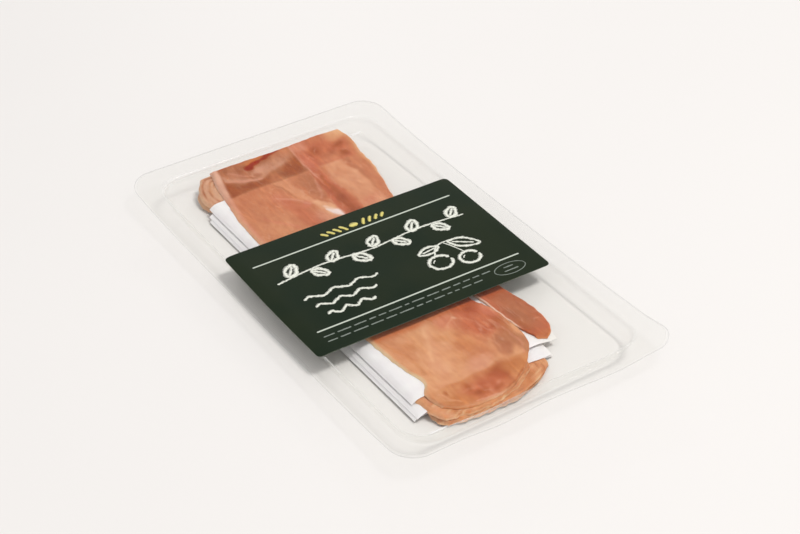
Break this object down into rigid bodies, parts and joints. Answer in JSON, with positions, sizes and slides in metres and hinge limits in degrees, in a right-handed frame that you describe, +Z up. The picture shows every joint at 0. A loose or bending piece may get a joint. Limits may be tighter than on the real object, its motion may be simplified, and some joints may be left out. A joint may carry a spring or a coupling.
{
  "type": "pack of sliced ham",
  "caption": "Flat sealed pack of dry-cured ham: clear formed tray with a flange, clear lid film, dark printed label, thin slices layered with white paper.",
  "frame": {"origin": "centre of the pack's footprint, on the surface that it lies on", "axes": "+X across the pack as the label reads, +Y along the pack to the label's top, +Z up"},
  "size_m": [0.14, 0.24, 0.0129],
  "materials": {
    "clear_tray": "clear, thin formed sheet",
    "lid_film": "clear, sealed film",
    "label": "satin print",
    "ham": "moist cured meat with pale fat",
    "paper": "white greaseproof paper"
  },
  "bodies": {
    "root": {"tray": "clear_tray", "lid_film": "lid_film", "label": "label", "ham_slice_1_wide": "ham", "ham_slice_1_strip": "ham", "ham_slice_2": "ham", "ham_slice_3": "ham", "ham_slice_4": "ham", "paper_sheet_1": "paper", "paper_sheet_2": "paper", "paper_sheet_3": "paper"}
  },
  "joints": []
}
